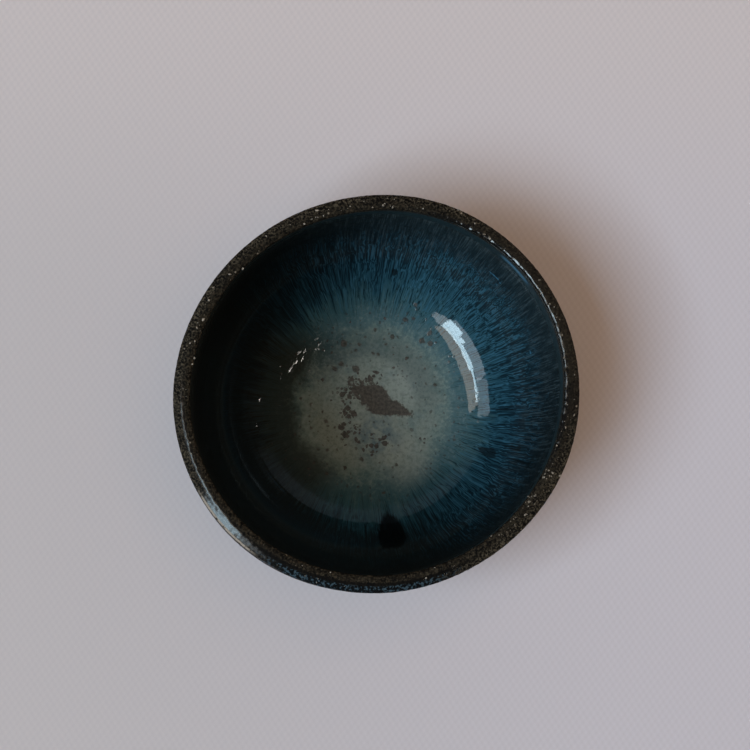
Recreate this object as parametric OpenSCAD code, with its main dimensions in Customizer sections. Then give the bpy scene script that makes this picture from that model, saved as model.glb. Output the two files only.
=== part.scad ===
// Soba choko cup: a wheel-thrown stoneware dipping cup with a turned foot ring and five fired coats.
// Every piece is a revolve about Z. The origin is the middle of the foot ring's resting face.
// Each coat is bounded by the same curve as the piece under it, so neighbours meet face to face.

/* [Cup] */
// Outside diameter at the belly, the widest place, over the glaze
belly_d = 84; // [74:1:96]
// Height from the foot ring's resting face to the top of the clay lip
cup_h = 62; // [54:1:76]
// How far below the top of the clay lip the belly lies
belly_drop = 13; // [8:1:20]
// How far the outside leans in from the belly to the lip
lip_lean = 0.4; // [0:0.1:2]
// Squareness of the outside curve from the belly down to the foot, where 2 is an ellipse
outside_square = 3.1; // [2.8:0.1:4]
// Squareness of the inside curve from the belly down to the floor, where 2 is an ellipse
inside_square = 3.5; // [3:0.1:4.5]

/* [Clay body] */
// Clay thickness of the wall at the belly
wall_t = 2.7; // [2.2:0.1:4]
// Clay thickness of the wall where the lip starts to round over
lip_t = 2.5; // [1.8:0.1:3.2]
// Height of the rounded top of the lip
lip_round = 1.2; // [0.8:0.1:2]
// Clay thickness at the middle of the floor
floor_t = 5; // [3.5:0.1:7]

/* [Foot ring] */
// Outside diameter of the foot ring at the resting face
foot_d = 52; // [44:1:58]
// Width of the foot ring at the resting face, with its two rounded edges
foot_w = 4.6; // [3.8:0.1:6]
// Depth of the turned recess inside the foot ring
foot_recess = 4; // [3:0.1:6]
// How much wider the foot ring is on each side where it joins the body
foot_draft = 0.5; // [0:0.1:1]
// Rounding of the foot ring's two lower edges
foot_edge = 0.9; // [0.4:0.1:1.4]
// Rounding where the foot ring meets the body and the recess
foot_fillet = 1.4; // [0.6:0.1:2]
// Height at which the outside curve would reach the axis, behind the foot ring
underside_z = 3.5; // [2.5:0.1:5]

/* [Glaze coats] */
// Thickness of the outside coat at the belly
outer_t = 0.5; // [0.3:0.05:0.8]
// Extra thickness that the outside coat gathers on its way down to the foot
outer_roll = 0.5; // [0.2:0.05:0.8]
// Height of the bare clay between the foot ring and the edge of the outside coat
bare_heel = 2.6; // [1:0.1:6]
// Thickness of the dark coat that lines the inside
liner_t = 0.4; // [0.3:0.05:0.7]
// Thickness of the pale coat that ran down the lined wall
over_t = 0.2; // [0.15:0.05:0.4]
// Length over which the pale coat's upper edge thins to nothing
over_feather = 2; // [0.5:0.1:4]
// Thickness of the pool that the pale coat forms in the middle of the floor
pool_t = 1.2; // [0.6:0.1:2.5]
// How far below the top of the clay lip the pale coat starts
over_drop = 9; // [6:0.5:18]
// Thickness of the iron-brown band on the lip
band_t = 0.15; // [0.1:0.05:0.25]
// How far below the top of the clay lip the band reaches, inside and outside
band_drop = 3; // [2.5:0.1:4]
// Thickness of the coat in the foot recess
foot_coat_t = 0.4; // [0.3:0.05:0.7]
// Bare ring of clay between that coat and the rounding of the recess
foot_coat_gap = 1; // [0.5:0.1:3]

/* [Hidden] */
$fn = 180;
// Steps along a whole curve from the axis to the belly, length of a step above it, and steps in a rounding
curve_steps = 48;
upper_step = 2;
round_steps = 8;

belly_r = belly_d / 2;
belly_z = cup_h - belly_drop;
lip_z = cup_h - lip_round;
band_z = cup_h - band_drop;
over_z = cup_h - over_drop;
floor_z = foot_recess + floor_t;
foot_r = foot_d / 2;
recess_r = foot_r - foot_w;

// Clay radii at the belly and where the lip starts to round over
clay_out_r = belly_r - outer_t;
clay_in_r = clay_out_r - wall_t;
lip_out_r = clay_out_r - lip_lean;
lip_in_r = lip_out_r - lip_t;

// A face of the cup is [radius at the belly, height at the axis, squareness, lean from the belly to the lip]
clay_outside = [clay_out_r, underside_z, outside_square, lip_out_r - clay_out_r];
outer_face = clay_outside + [outer_t, -outer_t - outer_roll, 0, 0];
clay_inside = [clay_in_r, floor_z, inside_square, lip_in_r - clay_in_r];
liner_face = clay_inside + [-liner_t, liner_t, 0, 0];
over_face = liner_face + [-over_t, pool_t, 0, 0];

// Angle along a face's lower curve at a height, from 0 on the axis to 90 at the belly
function angle_at(face, z) = acos(pow((belly_z - min(z, belly_z)) / (belly_z - face[1]), face[2] / 2));

// Point of the lower curve at an angle: a quarter of a superellipse, upright where it reaches the belly
function low_point(face, angle) = [
    face[0] * pow(sin(angle), 2 / face[2]),
    belly_z - (belly_z - face[1]) * pow(cos(angle), 2 / face[2])
];

// Point of the wall above the belly, which leans ever more towards the lip
function high_point(face, z) = [face[0] + face[3] * pow((z - belly_z) / (lip_z - belly_z), 2), z];

// Points of a face between two heights, upwards
function low_run(face, a0, a1) =
    let (n = max(2, ceil(curve_steps * (a1 - a0) / 90)))
    [for (i = [0:n]) low_point(face, a0 + (a1 - a0) * i / n)];
function high_run(face, z0, z1) =
    let (n = max(2, ceil((z1 - z0) / upper_step)))
    [for (i = [0:n]) high_point(face, z0 + (z1 - z0) * i / n)];
function run(face, z0, z1) =
    z1 <= belly_z ? low_run(face, angle_at(face, z0), angle_at(face, z1))
    : z0 >= belly_z ? high_run(face, z0, z1)
    : join(low_run(face, angle_at(face, z0), 90), high_run(face, belly_z, z1));

// Two runs of points in a row, where the second starts at the end of the first
function join(points, more) = concat(points, [for (i = [1:len(more) - 1]) more[i]]);
function backwards(points) = [for (i = [len(points) - 1:-1:0]) points[i]];
function moved_out(points, d) = [for (p = points) p + [d, 0]];

// A rounding from a to c, drawn out towards the corner b
function rounding(a, b, c) = [
    for (i = [0:round_steps])
        let (t = i / round_steps)
        pow(1 - t, 2) * a + 2 * t * (1 - t) * b + pow(t, 2) * c
];

// The rounded top of the lip from outside to inside, under a coat of some thickness
function lip_top(coat) =
    let (mid_r = (lip_out_r + lip_in_r) / 2)
    [
        for (i = [0:2 * round_steps])
            let (a = 90 * i / round_steps)
            [mid_r + (lip_t / 2 + coat) * cos(a), lip_z + (lip_round + coat) * sin(a)]
    ];

// The rounded upper edge of a coat, from where the lip's band stands on it to the coat's own face
function coat_top(clay, face, band_side, t) = rounding(
    high_point(clay, band_z) + [band_side * band_t, 0],
    high_point(face, band_z),
    high_point(face, band_z - t)
);

// Height of the clay's outside at a radius below the belly
function outside_z(r) = low_point(clay_outside, asin(pow(r / clay_out_r, outside_square / 2)))[1];

// The turned foot from the middle of the recess, round the ring and up to the bare heel
ring_top_r = foot_r + foot_draft;
ring_top_z = outside_z(ring_top_r);
heel_r = ring_top_r + foot_fillet;
heel_z = outside_z(heel_r);
glaze_line_z = heel_z + bare_heel;
recess_top_r = recess_r - foot_draft;
recess_flat_r = recess_top_r - foot_fillet;
foot_outline = concat(
    [[0, foot_recess]],
    rounding(
        [recess_flat_r, foot_recess],
        [recess_top_r, foot_recess],
        [recess_top_r + foot_draft * foot_fillet / foot_recess, foot_recess - foot_fillet]
    ),
    rounding(
        [recess_r - foot_draft * foot_edge / foot_recess, foot_edge],
        [recess_r, 0],
        [recess_r + foot_edge, 0]
    ),
    rounding(
        [foot_r - foot_edge, 0],
        [foot_r, 0],
        [foot_r + foot_draft * foot_edge / ring_top_z, foot_edge]
    ),
    rounding(
        [ring_top_r - foot_draft * foot_fillet / ring_top_z, ring_top_z - foot_fillet],
        [ring_top_r, ring_top_z],
        [heel_r, heel_z]
    )
);

// Stretches of the clay, each shared with the coat that covers it
bare_outside = run(clay_outside, heel_z, glaze_line_z);
coated_outside = run(clay_outside, glaze_line_z, band_z);
lined_inside = run(clay_inside, floor_z, band_z);
banded_outside = run(clay_outside, band_z, lip_z);
banded_inside = run(clay_inside, band_z, lip_z);
banded_lip = join(join(banded_outside, lip_top(0)), backwards(banded_inside));

// Stretches of the liner: the one under the pale coat, and the bare one above it
liner_covered = run(liner_face, floor_z + liner_t, over_z);
liner_bare = run(liner_face, over_z, band_z - liner_t);

module revolve(outline) {
    rotate_extrude()
        polygon(outline);
}

// Iron-rich stoneware, thrown thin and turned underneath to leave the foot ring
module clay_body() {
    outside = join(join(foot_outline, bare_outside), coated_outside);
    color("#4b382b")
        revolve(join(join(outside, banded_lip), backwards(lined_inside)));
}

// Dark ground coat poured into the cup, which ends in a rounded edge under the lip
module liner_glaze() {
    top_edge = coat_top(clay_inside, liner_face, -1, liner_t);
    own_face = backwards(join(liner_covered, liner_bare));
    color("#10161c")
        revolve(concat(lined_inside, join(top_edge, own_face)));
}

// Pale blue coat that ran down the lined wall and pooled on the floor
module over_glaze() {
    own_face = run(over_face, over_face[1], over_z - over_feather);
    color("#3a6f86")
        revolve(concat(liner_covered, backwards(own_face)));
}

// Dark outside coat, which thickens on its way down to a rolled edge above the foot
module outer_glaze() {
    top_edge = coat_top(clay_outside, outer_face, 1, outer_t);
    own_face = backwards(run(outer_face, glaze_line_z, band_z - outer_t));
    roll = rounding(
        own_face[len(own_face) - 1],
        low_point(outer_face, angle_at(clay_outside, glaze_line_z)),
        coated_outside[0]
    );
    color("#1b1b1d")
        revolve(join(join(concat(coated_outside, top_edge), own_face), roll));
}

// Iron wash brushed over the lip, down to the edges of the two dark coats
module rim_band() {
    outside = moved_out(banded_outside, band_t);
    inside = moved_out(banded_inside, -band_t);
    own_face = join(join(outside, lip_top(band_t)), backwards(inside));
    color("#3a3128")
        revolve(concat(banded_lip, backwards(own_face)));
}

// Disc of the outside coat left in the foot recess when the ring was wiped clean
module foot_glaze() {
    disc_r = recess_flat_r - foot_coat_gap;
    under_z = foot_recess - foot_coat_t;
    edge = rounding([disc_r - foot_coat_t, under_z], [disc_r, under_z], [disc_r, foot_recess]);
    color("#1b1b1d")
        revolve(concat([[0, foot_recess], [0, under_z]], edge));
}

clay_body();
liner_glaze();
over_glaze();
outer_glaze();
rim_band();
foot_glaze();
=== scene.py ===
import math
import random
import bmesh
import bpy
from mathutils import Matrix, Vector, noise


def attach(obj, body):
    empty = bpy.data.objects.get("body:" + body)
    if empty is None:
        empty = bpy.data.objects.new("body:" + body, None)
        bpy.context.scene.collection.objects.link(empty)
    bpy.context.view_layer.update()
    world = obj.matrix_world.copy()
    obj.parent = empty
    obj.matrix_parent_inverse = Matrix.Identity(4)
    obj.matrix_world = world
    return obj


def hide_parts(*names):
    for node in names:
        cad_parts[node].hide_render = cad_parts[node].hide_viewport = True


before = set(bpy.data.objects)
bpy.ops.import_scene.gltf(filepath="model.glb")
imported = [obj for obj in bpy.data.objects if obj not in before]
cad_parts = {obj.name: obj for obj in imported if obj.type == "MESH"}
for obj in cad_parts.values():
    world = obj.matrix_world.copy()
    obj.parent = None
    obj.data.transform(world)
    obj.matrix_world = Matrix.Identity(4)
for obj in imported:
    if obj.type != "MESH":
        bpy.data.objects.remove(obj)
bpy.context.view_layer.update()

# Clay body: the cup itself, thrown thin from iron-rich stoneware on the wheel, then turned upside down
# to cut the foot ring. Only the foot and the heel above it stay bare, since the coats hide the rest.
# Outlines are in millimetres as [radius, height], and a finished piece is scaled to metres.
MM = 0.001
scene = bpy.context.scene
CUP_H = 62
BELLY_Z = 49
LIP_Z = 60.8
BAND_Z = 59
LIP_OUT_R = 41.1
LIP_IN_R = 38.6
LIP_ROUND = 1.2
FLOOR_Z = 9
FOOT_R = 26
RECESS_R = 21.4
FOOT_RECESS = 4
FOOT_DRAFT = 0.5
FOOT_EDGE = 0.9
FOOT_FILLET = 1.4
BARE_HEEL = 2.6
# A face of the cup: its radius at the belly, height at the axis, squareness and lean at the lip
CLAY_OUTSIDE = (41.5, 3.5, 3.1, -0.4)
CLAY_INSIDE = (38.8, 9, 3.5, -0.2)
# Steps along a face below the belly, along one above it and along a rounding
WALL_STEPS = 200
LIP_STEPS = 60
ROUND_STEPS = 24
# A face is followed by radius within this share of the belly's radius, and by height beyond it
FLAT_SHARE = 0.8
# Spacing of the points on the foot, on other faces that show and on hidden ones
FOOT_STEP = 0.35
FINE = 0.5
HIDDEN = 1.5
# Points this close are one point, and a place this close to the axis has no side
SAME_POINT = 1e-4
ON_AXIS = 1e-6
# Length at each end of a free stretch where it is held back
END_FADE = 0.8
# Parts of a turn, of which a spin makes one, and the angle beyond which an edge stays sharp
SPIN_PARTS = 8
SHARP = math.radians(50)
# How far from round the wheel left the cup: an oval, three lobes and a slow wobble
OVAL = 0.0135
OVAL_AT = math.radians(23)
LOBE = 0.0025
LOBE_AT = 0.6
WOBBLE = 0.22
WOBBLE_ROUND = 1.7
WOBBLE_UP = 0.04
# Finger ridges inside and outside, and the height of one turn of each
INSIDE_RING = 0.035
INSIDE_PITCH = 7
OUTSIDE_RING = 0.06
OUTSIDE_PITCH = 6
# The lip rises and falls as it goes round, flares over the narrower wall and leans in
LIP_WAVE = 0.22
WAVE_AT = 1.1
WAVE_THIRD = 0.6
LIP_FLARE = 0.35
LIP_SKEW = 0.3
WAIST = 0.35
# Heights between which each of these grows to the full, or the ridges fade again
OVAL_RISE = (6, CUP_H)
RIDGE_RISE = (14, 22)
RIDGE_FADE = (52, 58)
WAIST_RISE = (20, 42)
WAVE_RISE = (30, CUP_H)
ROLL_RISE = (57.5, 60.5)
SKEW_RISE = (59.3, 61.5)
INSIDE_FULL = 61
# Where the lip came out thicker or thinner: degrees round the cup, millimetres and breadth in degrees
LIP_UNEVEN = [(60, 0.68, 30), (138, -0.28, 30), (238, -0.33, 22), (338, 0.35, 20)]
# Where the upper inside stands back, or the lip leans in over it: the same, and the height where it starts
INSIDE_UNEVEN = [(48, 1.25, 42, 40), (238, -0.6, 34, 59.3)]
# Where the lip's shoulder sank: degrees, millimetres, breadth, and shares of the wall from inside to outside
SUNK_AT = 207
SUNK = 0.27
SUNK_BREADTH = 34
SUNK_ACROSS = (0.35, 0.8)
# The edges of the coats under the lip wander up and down, in slow waves and in fine ones half as high
BAND_WAVE = 0.35
BAND_BREADTH = 1.3
BAND_SLOW = 9
BAND_FINE = 31
BAND_CLEAR = 2
# The top of the lip from outside to inside, as shares of its width and height: a shoulder that slopes in,
# a ridge and a narrow bevel. Every second place lies on the lip, and those between are corners.
LIP_SHAPE = [(1, 0), (1, 0.44), (0.85, 0.62), (0.66, 0.847), (0.47, 0.909), (0.3, 0.963), (0.225, 0.9),
             (0.14, 0.822), (0.06, 0.739), (0, 0.671), (0, 0.42), (0, 0.2), (0, 0)]


def radius_at(face, z):
    """Radius of a face at a height: a superellipse below the belly, a slight lean above it."""
    radius, axis_z, square, lean = face
    if z >= BELLY_Z:
        return radius + lean * ((z - BELLY_Z) / (LIP_Z - BELLY_Z)) ** 2
    share = (BELLY_Z - z) / (BELLY_Z - axis_z)
    return radius * max(0, 1 - share ** square) ** (1 / square)


def height_at(face, r):
    """Height of a face below the belly at a radius."""
    radius, axis_z, square = face[:3]
    return BELLY_Z - (BELLY_Z - axis_z) * (1 - (r / radius) ** square) ** (1 / square)


def spaced(start, end, steps):
    """Evenly spaced numbers from one to another."""
    return [start + (end - start) * i / steps for i in range(steps + 1)]


def wall(face, low, high):
    """Points of a face between two heights, upwards, close together where the curve is flat."""
    points = []
    if low < BELLY_Z:
        top = min(high, BELLY_Z)
        r0 = radius_at(face, low)
        r1 = radius_at(face, top)
        flat_r = min(max(FLAT_SHARE * face[0], r0), r1)
        flat_z = height_at(face, flat_r) if flat_r < r1 else top
        points += [(r, height_at(face, r)) for r in spaced(r0, flat_r, WALL_STEPS)[:-1]]
        points += [(radius_at(face, z), z) for z in spaced(flat_z, top, WALL_STEPS)]
        low = top
    if high > low:
        points += [(radius_at(face, z), z) for z in spaced(low, high, LIP_STEPS)]
    return points


def rounding(a, b, c):
    """A rounding from a to c, drawn out towards the corner b."""
    return [tuple((1 - t) ** 2 * a[k] + 2 * t * (1 - t) * b[k] + t ** 2 * c[k] for k in (0, 1))
            for t in spaced(0, 1, ROUND_STEPS)]


def lip_top(coat):
    """The top of the lip from outside to inside, under a coat of some thickness."""
    across = LIP_OUT_R - LIP_IN_R + 2 * coat
    places = [(LIP_IN_R - coat + x * across, LIP_Z + y * (LIP_ROUND + coat)) for x, y in LIP_SHAPE]
    points = []
    for a, b, c in zip(places[::2], places[1::2], places[2::2]):
        points += rounding(a, b, c)
    return points


def outline(*stretches):
    """Evenly spaced points along stretches in a row, each with its spacing and how free it is."""
    made = []
    for points, spacing, free in stretches:
        along = [0]
        for a, b in zip(points, points[1:]):
            along.append(along[-1] + math.dist(a, b))
        count = max(1, round(along[-1] / spacing))
        at = 0
        for goal in spaced(0, along[-1], count):
            while at < len(points) - 2 and along[at + 1] < goal:
                at += 1
            step = along[at + 1] - along[at]
            share = (goal - along[at]) / step if step else 0
            r, z = (points[at][k] + share * (points[at + 1][k] - points[at][k]) for k in (0, 1))
            # A free stretch may be roughened, less towards its ends, so that its edges stay joined
            ends = min(1, goal / END_FADE, (along[-1] - goal) / END_FADE)
            if not made or math.dist(made[-1][:2], (r, z)) > SAME_POINT:
                made.append((r, z, free * max(0, ends)))
    return made


def turn(points, closed, steps=360):
    """Spins an outline about the axis as a closed shape, and keeps how free each point is."""
    bm = bmesh.new()
    free = bm.verts.layers.float.new("free")
    ring = []
    for r, z, freedom in points:
        ring.append(bm.verts.new((r, 0, z)))
        ring[-1][free] = freedom
    for a, b in zip(ring, ring[1:] + ring[:1] if closed else ring[1:]):
        bm.edges.new((a, b))
    # An eighth is spun and doubled three times, which is quicker than one long spin
    eighth = math.tau / SPIN_PARTS
    bmesh.ops.spin(bm, geom=bm.verts[:] + bm.edges[:], cent=(0, 0, 0), axis=(0, 0, 1), angle=eighth,
                   steps=steps // SPIN_PARTS)
    for doubling in (1, 2, 4):
        more = bmesh.ops.duplicate(bm, geom=bm.verts[:] + bm.edges[:] + bm.faces[:])["geom"]
        fresh = [part for part in more if isinstance(part, bmesh.types.BMVert)]
        bmesh.ops.rotate(bm, cent=(0, 0, 0), matrix=Matrix.Rotation(doubling * eighth, 3, "Z"), verts=fresh)
    bmesh.ops.remove_doubles(bm, verts=bm.verts, dist=SAME_POINT)
    bmesh.ops.recalc_face_normals(bm, faces=bm.faces)
    return bm


def ease(value, low, high):
    """0 below one value and 1 above another, smooth between them."""
    t = min(1, max(0, (value - low) / (high - low)))
    return t * t * (3 - 2 * t)


def hump(degrees, at, breadth):
    """1 at an angle round the cup, and next to nothing two breadths away from it."""
    aside = (degrees - at + 180) % 360 - 180
    return math.exp(-(aside / breadth) ** 2)


def thrown(point):
    """Where a point of a perfectly round cup lies on the one that came off the wheel."""
    x, y, z = point
    r = math.hypot(x, y)
    if r < ON_AXIS:
        return Vector(point)
    turn_at = math.atan2(y, x)
    degrees = math.degrees(turn_at)
    side = Vector((x / r, y / r, 0))
    up = ease(z, *OVAL_RISE)
    out = r * up * (OVAL * math.cos(2 * (turn_at - OVAL_AT)) + LOBE * math.cos(3 * turn_at + LOBE_AT))
    out += WOBBLE * up * noise.noise(side * WOBBLE_ROUND + Vector((0, 0, z * WOBBLE_UP)))
    # Finger ridges climb in a spiral, each face with its own
    ridge_z = max(z, RIDGE_RISE[0])
    inner = radius_at(CLAY_INSIDE, ridge_z)
    outer = radius_at(CLAY_OUTSIDE, ridge_z)
    depth = min(1, max(0, (r - inner) / (outer - inner)))
    inside = INSIDE_RING * math.sin(math.tau * z / INSIDE_PITCH - turn_at)
    outside = OUTSIDE_RING * math.sin(math.tau * z / OUTSIDE_PITCH + turn_at)
    ridges = (1 - depth) * inside + depth * outside
    out += ridges * ease(z, *RIDGE_RISE) * (1 - ease(z, *RIDGE_FADE))
    # The lip was rolled out over the wall and in over the inside, and came out uneven
    rolled = ease(z, *ROLL_RISE)
    out -= WAIST * depth * ease(z, *WAIST_RISE) * (1 - rolled)
    out -= LIP_SKEW * (1 - depth) * ease(z, *SKEW_RISE)
    out += LIP_FLARE * depth * rolled
    for at, much, breadth in LIP_UNEVEN:
        out += much * depth * rolled * hump(degrees, at, breadth)
    for at, much, breadth, low in INSIDE_UNEVEN:
        out += much * (1 - depth) * ease(z, low, INSIDE_FULL) * hump(degrees, at, breadth)
    wave = math.sin(2 * turn_at + WAVE_AT) + WAVE_THIRD * math.sin(3 * turn_at)
    lift = LIP_WAVE * ease(z, *WAVE_RISE) * wave
    lift -= SUNK * rolled * ease(depth, *SUNK_ACROSS) * hump(degrees, SUNK_AT, SUNK_BREADTH)
    near_band = math.exp(-((z - BAND_Z) / BAND_BREADTH) ** 2) * ease(abs(z - CUP_H), 0, BAND_CLEAR)
    lift += BAND_WAVE * near_band * (noise.noise(side * BAND_SLOW) + 0.5 * noise.noise(side * BAND_FINE))
    return Vector((x, y, z + lift)) + side * out


def throw(bm):
    """Moves every point of a shape to where the wheel left it."""
    for vert in bm.verts:
        vert.co = thrown(vert.co)


def finished(name, bm, finish):
    """A shape in millimetres, made into a smooth piece in metres with its finish."""
    bmesh.ops.scale(bm, vec=(MM, MM, MM), verts=bm.verts)
    mesh = bpy.data.meshes.new(name)
    bm.to_mesh(mesh)
    bm.free()
    mesh.shade_smooth()
    mesh.set_sharp_from_angle(angle=SHARP)
    mesh.materials.append(finish)
    piece = bpy.data.objects.new(name, mesh)
    scene.collection.objects.link(piece)
    return piece


def colour(code):
    """A colour written as on a paint chart, as the light it gives back."""
    parts = [int(code[i:i + 2], 16) / 255 for i in (1, 3, 5)]
    return (*(p / 12.92 if p <= 0.04045 else ((p + 0.055) / 1.055) ** 2.4 for p in parts), 1)


def fill(sockets, values):
    """Links sockets to the tones given for them, and sets the others to plain values."""
    for name, value in values.items():
        if isinstance(value, Tone):
            value.socket.id_data.links.new(value.socket, sockets[name])
        else:
            sockets[name].default_value = value


def maths(operation, swapped=False):
    """A method that adds a Math node for a tone and another value."""
    def method(tone, other):
        pair = (other, tone) if swapped else (tone, other)
        return tone.node("ShaderNodeMath", {"operation": operation}, dict(enumerate(pair)))
    return method


class Tone:
    """One socket in a finish's nodes. Sums written with tones add Math nodes to that finish."""

    def __init__(self, socket):
        self.socket = socket

    def node(self, kind, settings, inputs, output=0):
        """Adds a node: its settings first, then the values and links of its sockets."""
        made = self.socket.id_data.nodes.new(kind)
        for name, value in settings.items():
            setattr(made, name, value)
        fill(made.inputs, inputs)
        return Tone(made.outputs[output])

    __add__ = __radd__ = maths("ADD")
    __sub__ = maths("SUBTRACT")
    __rsub__ = maths("SUBTRACT", swapped=True)
    __mul__ = __rmul__ = maths("MULTIPLY")
    __truediv__ = maths("DIVIDE")
    __pow__ = maths("POWER")
    larger = maths("MAXIMUM")
    smaller = maths("MINIMUM")

    def between(self, low, high):
        """0 at the first value and 1 at the second, smooth between them."""
        return self.node("ShaderNodeMapRange", {"interpolation_type": "SMOOTHSTEP"}, {
            0: self, 1: low, 2: high})

    def mix(self, a, b):
        """The first colour where this tone is 0, and the second where it is 1."""
        colours = {6: a, 7: b}
        plain = {k: colour(v) if isinstance(v, str) else v for k, v in colours.items()}
        return self.node("ShaderNodeMix", {"data_type": "RGBA"}, {0: self, **plain}, 2)

    def ramp(self, *stops):
        """A colour that changes with this tone, from one stop to the next. The first stop is at 0."""
        made = self.node("ShaderNodeValToRGB", {}, {0: self})
        elements = made.socket.node.color_ramp.elements
        elements.remove(elements[1])
        for i, (at, code) in enumerate(stops):
            stop = elements.new(at) if i else elements[0]
            stop.color = colour(code)
        return made

    def under(self, *layers):
        """This colour with others laid over it in turn, each where its own tone is 1."""
        shade = self
        for tone, layer in layers:
            shade = tone.mix(shade, layer)
        return shade

    def parts(self):
        """The three numbers of a place or colour."""
        first = self.node("ShaderNodeSeparateXYZ", {}, {0: self})
        return [Tone(socket) for socket in first.socket.node.outputs]

    def reach(self):
        """How far this place lies from the axis of the cup."""
        x, y, _ = self.parts()
        return (x * x + y * y) ** 0.5

    def drawn(self, wide, tall):
        """This place as seen along the wall: round the axis, and up from the middle of the floor."""
        x, y, z = self.parts()
        reach = self.reach()
        near_axis = reach + ON_AXIS
        return self.node("ShaderNodeCombineXYZ", {}, {
            0: x / near_axis * wide, 1: y / near_axis * wide, 2: (reach + z) * tall})

    def cloud(self, scale, detail=2, roughness=0.55):
        """Smooth noise about one half, at this place."""
        return self.node("ShaderNodeTexNoise", {}, {
            "Vector": self, "Scale": scale, "Detail": detail, "Roughness": roughness})

    def grains(self, scale, share, size, soft=0.12, across="3D"):
        """Round specks: how many cells hold one, and how large one is in its cell."""
        near = self.node("ShaderNodeTexVoronoi", {"voronoi_dimensions": across}, {
            "Vector": self, "Scale": scale})
        chance, girth, _ = Tone(near.socket.node.outputs["Color"]).parts()
        reach = size * (0.35 + 0.65 * girth) * (share - chance).between(0, 0.02)
        return (reach - near).between(0, soft)

    def around(self, centre, radius, soft):
        """1 inside a ball at a place in millimetres, 0 outside it."""
        away = self.node("ShaderNodeVectorMath", {"operation": "DISTANCE"}, {
            0: self, 1: [c * MM for c in centre]}, "Value")
        return away.between((radius + soft) * MM, (radius - soft) * MM)

    def moved(self, by):
        """This place, moved by a number or another place."""
        return self.node("ShaderNodeVectorMath", {"operation": "ADD"}, {0: self, 1: by})

    def stirred(self, scale, reach):
        """This place, pushed about by noise, so that round things come out uneven."""
        push = Tone(self.cloud(scale, 2).socket.node.outputs["Color"])
        push = push.node("ShaderNodeVectorMath", {"operation": "SUBTRACT"}, {0: push, 1: (0.5, 0.5, 0.5)})
        push = push.node("ShaderNodeVectorMath", {"operation": "SCALE"}, {0: push, "Scale": reach * MM})
        return self.moved(push)

    def relief(self, depth):
        """A normal for bumps of this height in millimetres."""
        return self.node("ShaderNodeBump", {}, {"Strength": 1, "Distance": depth * MM, "Height": self})


def new_finish(name):
    """An empty finish: the material, the sockets of its shader and the place on the piece."""
    finish = bpy.data.materials.new(name)
    finish.use_nodes = True
    shader = finish.node_tree.nodes["Principled BSDF"]
    place = finish.node_tree.nodes.new("ShaderNodeTexCoord").outputs["Object"]
    return finish, shader.inputs, Tone(place)


ring_top_r = FOOT_R + FOOT_DRAFT
ring_top_z = height_at(CLAY_OUTSIDE, ring_top_r)
heel_r = ring_top_r + FOOT_FILLET
heel_z = height_at(CLAY_OUTSIDE, heel_r)
glaze_line_z = heel_z + BARE_HEEL
recess_top_r = RECESS_R - FOOT_DRAFT
recess_flat_r = recess_top_r - FOOT_FILLET
foot = [(0, FOOT_RECESS)]
foot += rounding((recess_flat_r, FOOT_RECESS), (recess_top_r, FOOT_RECESS),
                 (recess_top_r + FOOT_DRAFT * FOOT_FILLET / FOOT_RECESS, FOOT_RECESS - FOOT_FILLET))
foot += rounding((RECESS_R - FOOT_DRAFT * FOOT_EDGE / FOOT_RECESS, FOOT_EDGE), (RECESS_R, 0),
                 (RECESS_R + FOOT_EDGE, 0))
foot += rounding((FOOT_R - FOOT_EDGE, 0), (FOOT_R, 0),
                 (FOOT_R + FOOT_DRAFT * FOOT_EDGE / ring_top_z, FOOT_EDGE))
foot += rounding((ring_top_r - FOOT_DRAFT * FOOT_FILLET / ring_top_z, ring_top_z - FOOT_FILLET),
                 (ring_top_r, ring_top_z), (heel_r, heel_z))
foot += wall(CLAY_OUTSIDE, heel_z, glaze_line_z)
banded_lip = wall(CLAY_OUTSIDE, BAND_Z, LIP_Z) + lip_top(0) + wall(CLAY_INSIDE, BAND_Z, LIP_Z)[::-1]
clay_shape = turn(outline(
    (foot, FOOT_STEP, 1),
    (wall(CLAY_OUTSIDE, glaze_line_z, BAND_Z), HIDDEN, 0),
    (banded_lip, HIDDEN / 2, 0),
    (wall(CLAY_INSIDE, FLOOR_Z, BAND_Z)[::-1], HIDDEN, 0),
), closed=False)
# The turning tool leaves fine lines round the foot, and none where it rests or carries its coat.
# They change fast with radius and height, and slowly round the cup.
TOOL_MARK = 0.05
TOOL_FROM_R = 19.6
TOOL_FROM_Z = 0.02
TOOL_ACROSS = 1.1
TOOL_UP = 1.4
TOOL_ROUND = 0.15
free = clay_shape.verts.layers.float["free"]
for vert in clay_shape.verts:
    r = math.hypot(vert.co.x, vert.co.y)
    if vert[free] and r > TOOL_FROM_R and vert.co.z > TOOL_FROM_Z:
        round_at = math.atan2(vert.co.y, vert.co.x)
        line = noise.noise(Vector((r * TOOL_ACROSS, vert.co.z * TOOL_UP, TOOL_ROUND * round_at)))
        vert.co += Vector((vert.co.x / r, vert.co.y / r, 0)) * TOOL_MARK * line * vert[free]
throw(clay_shape)

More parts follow.
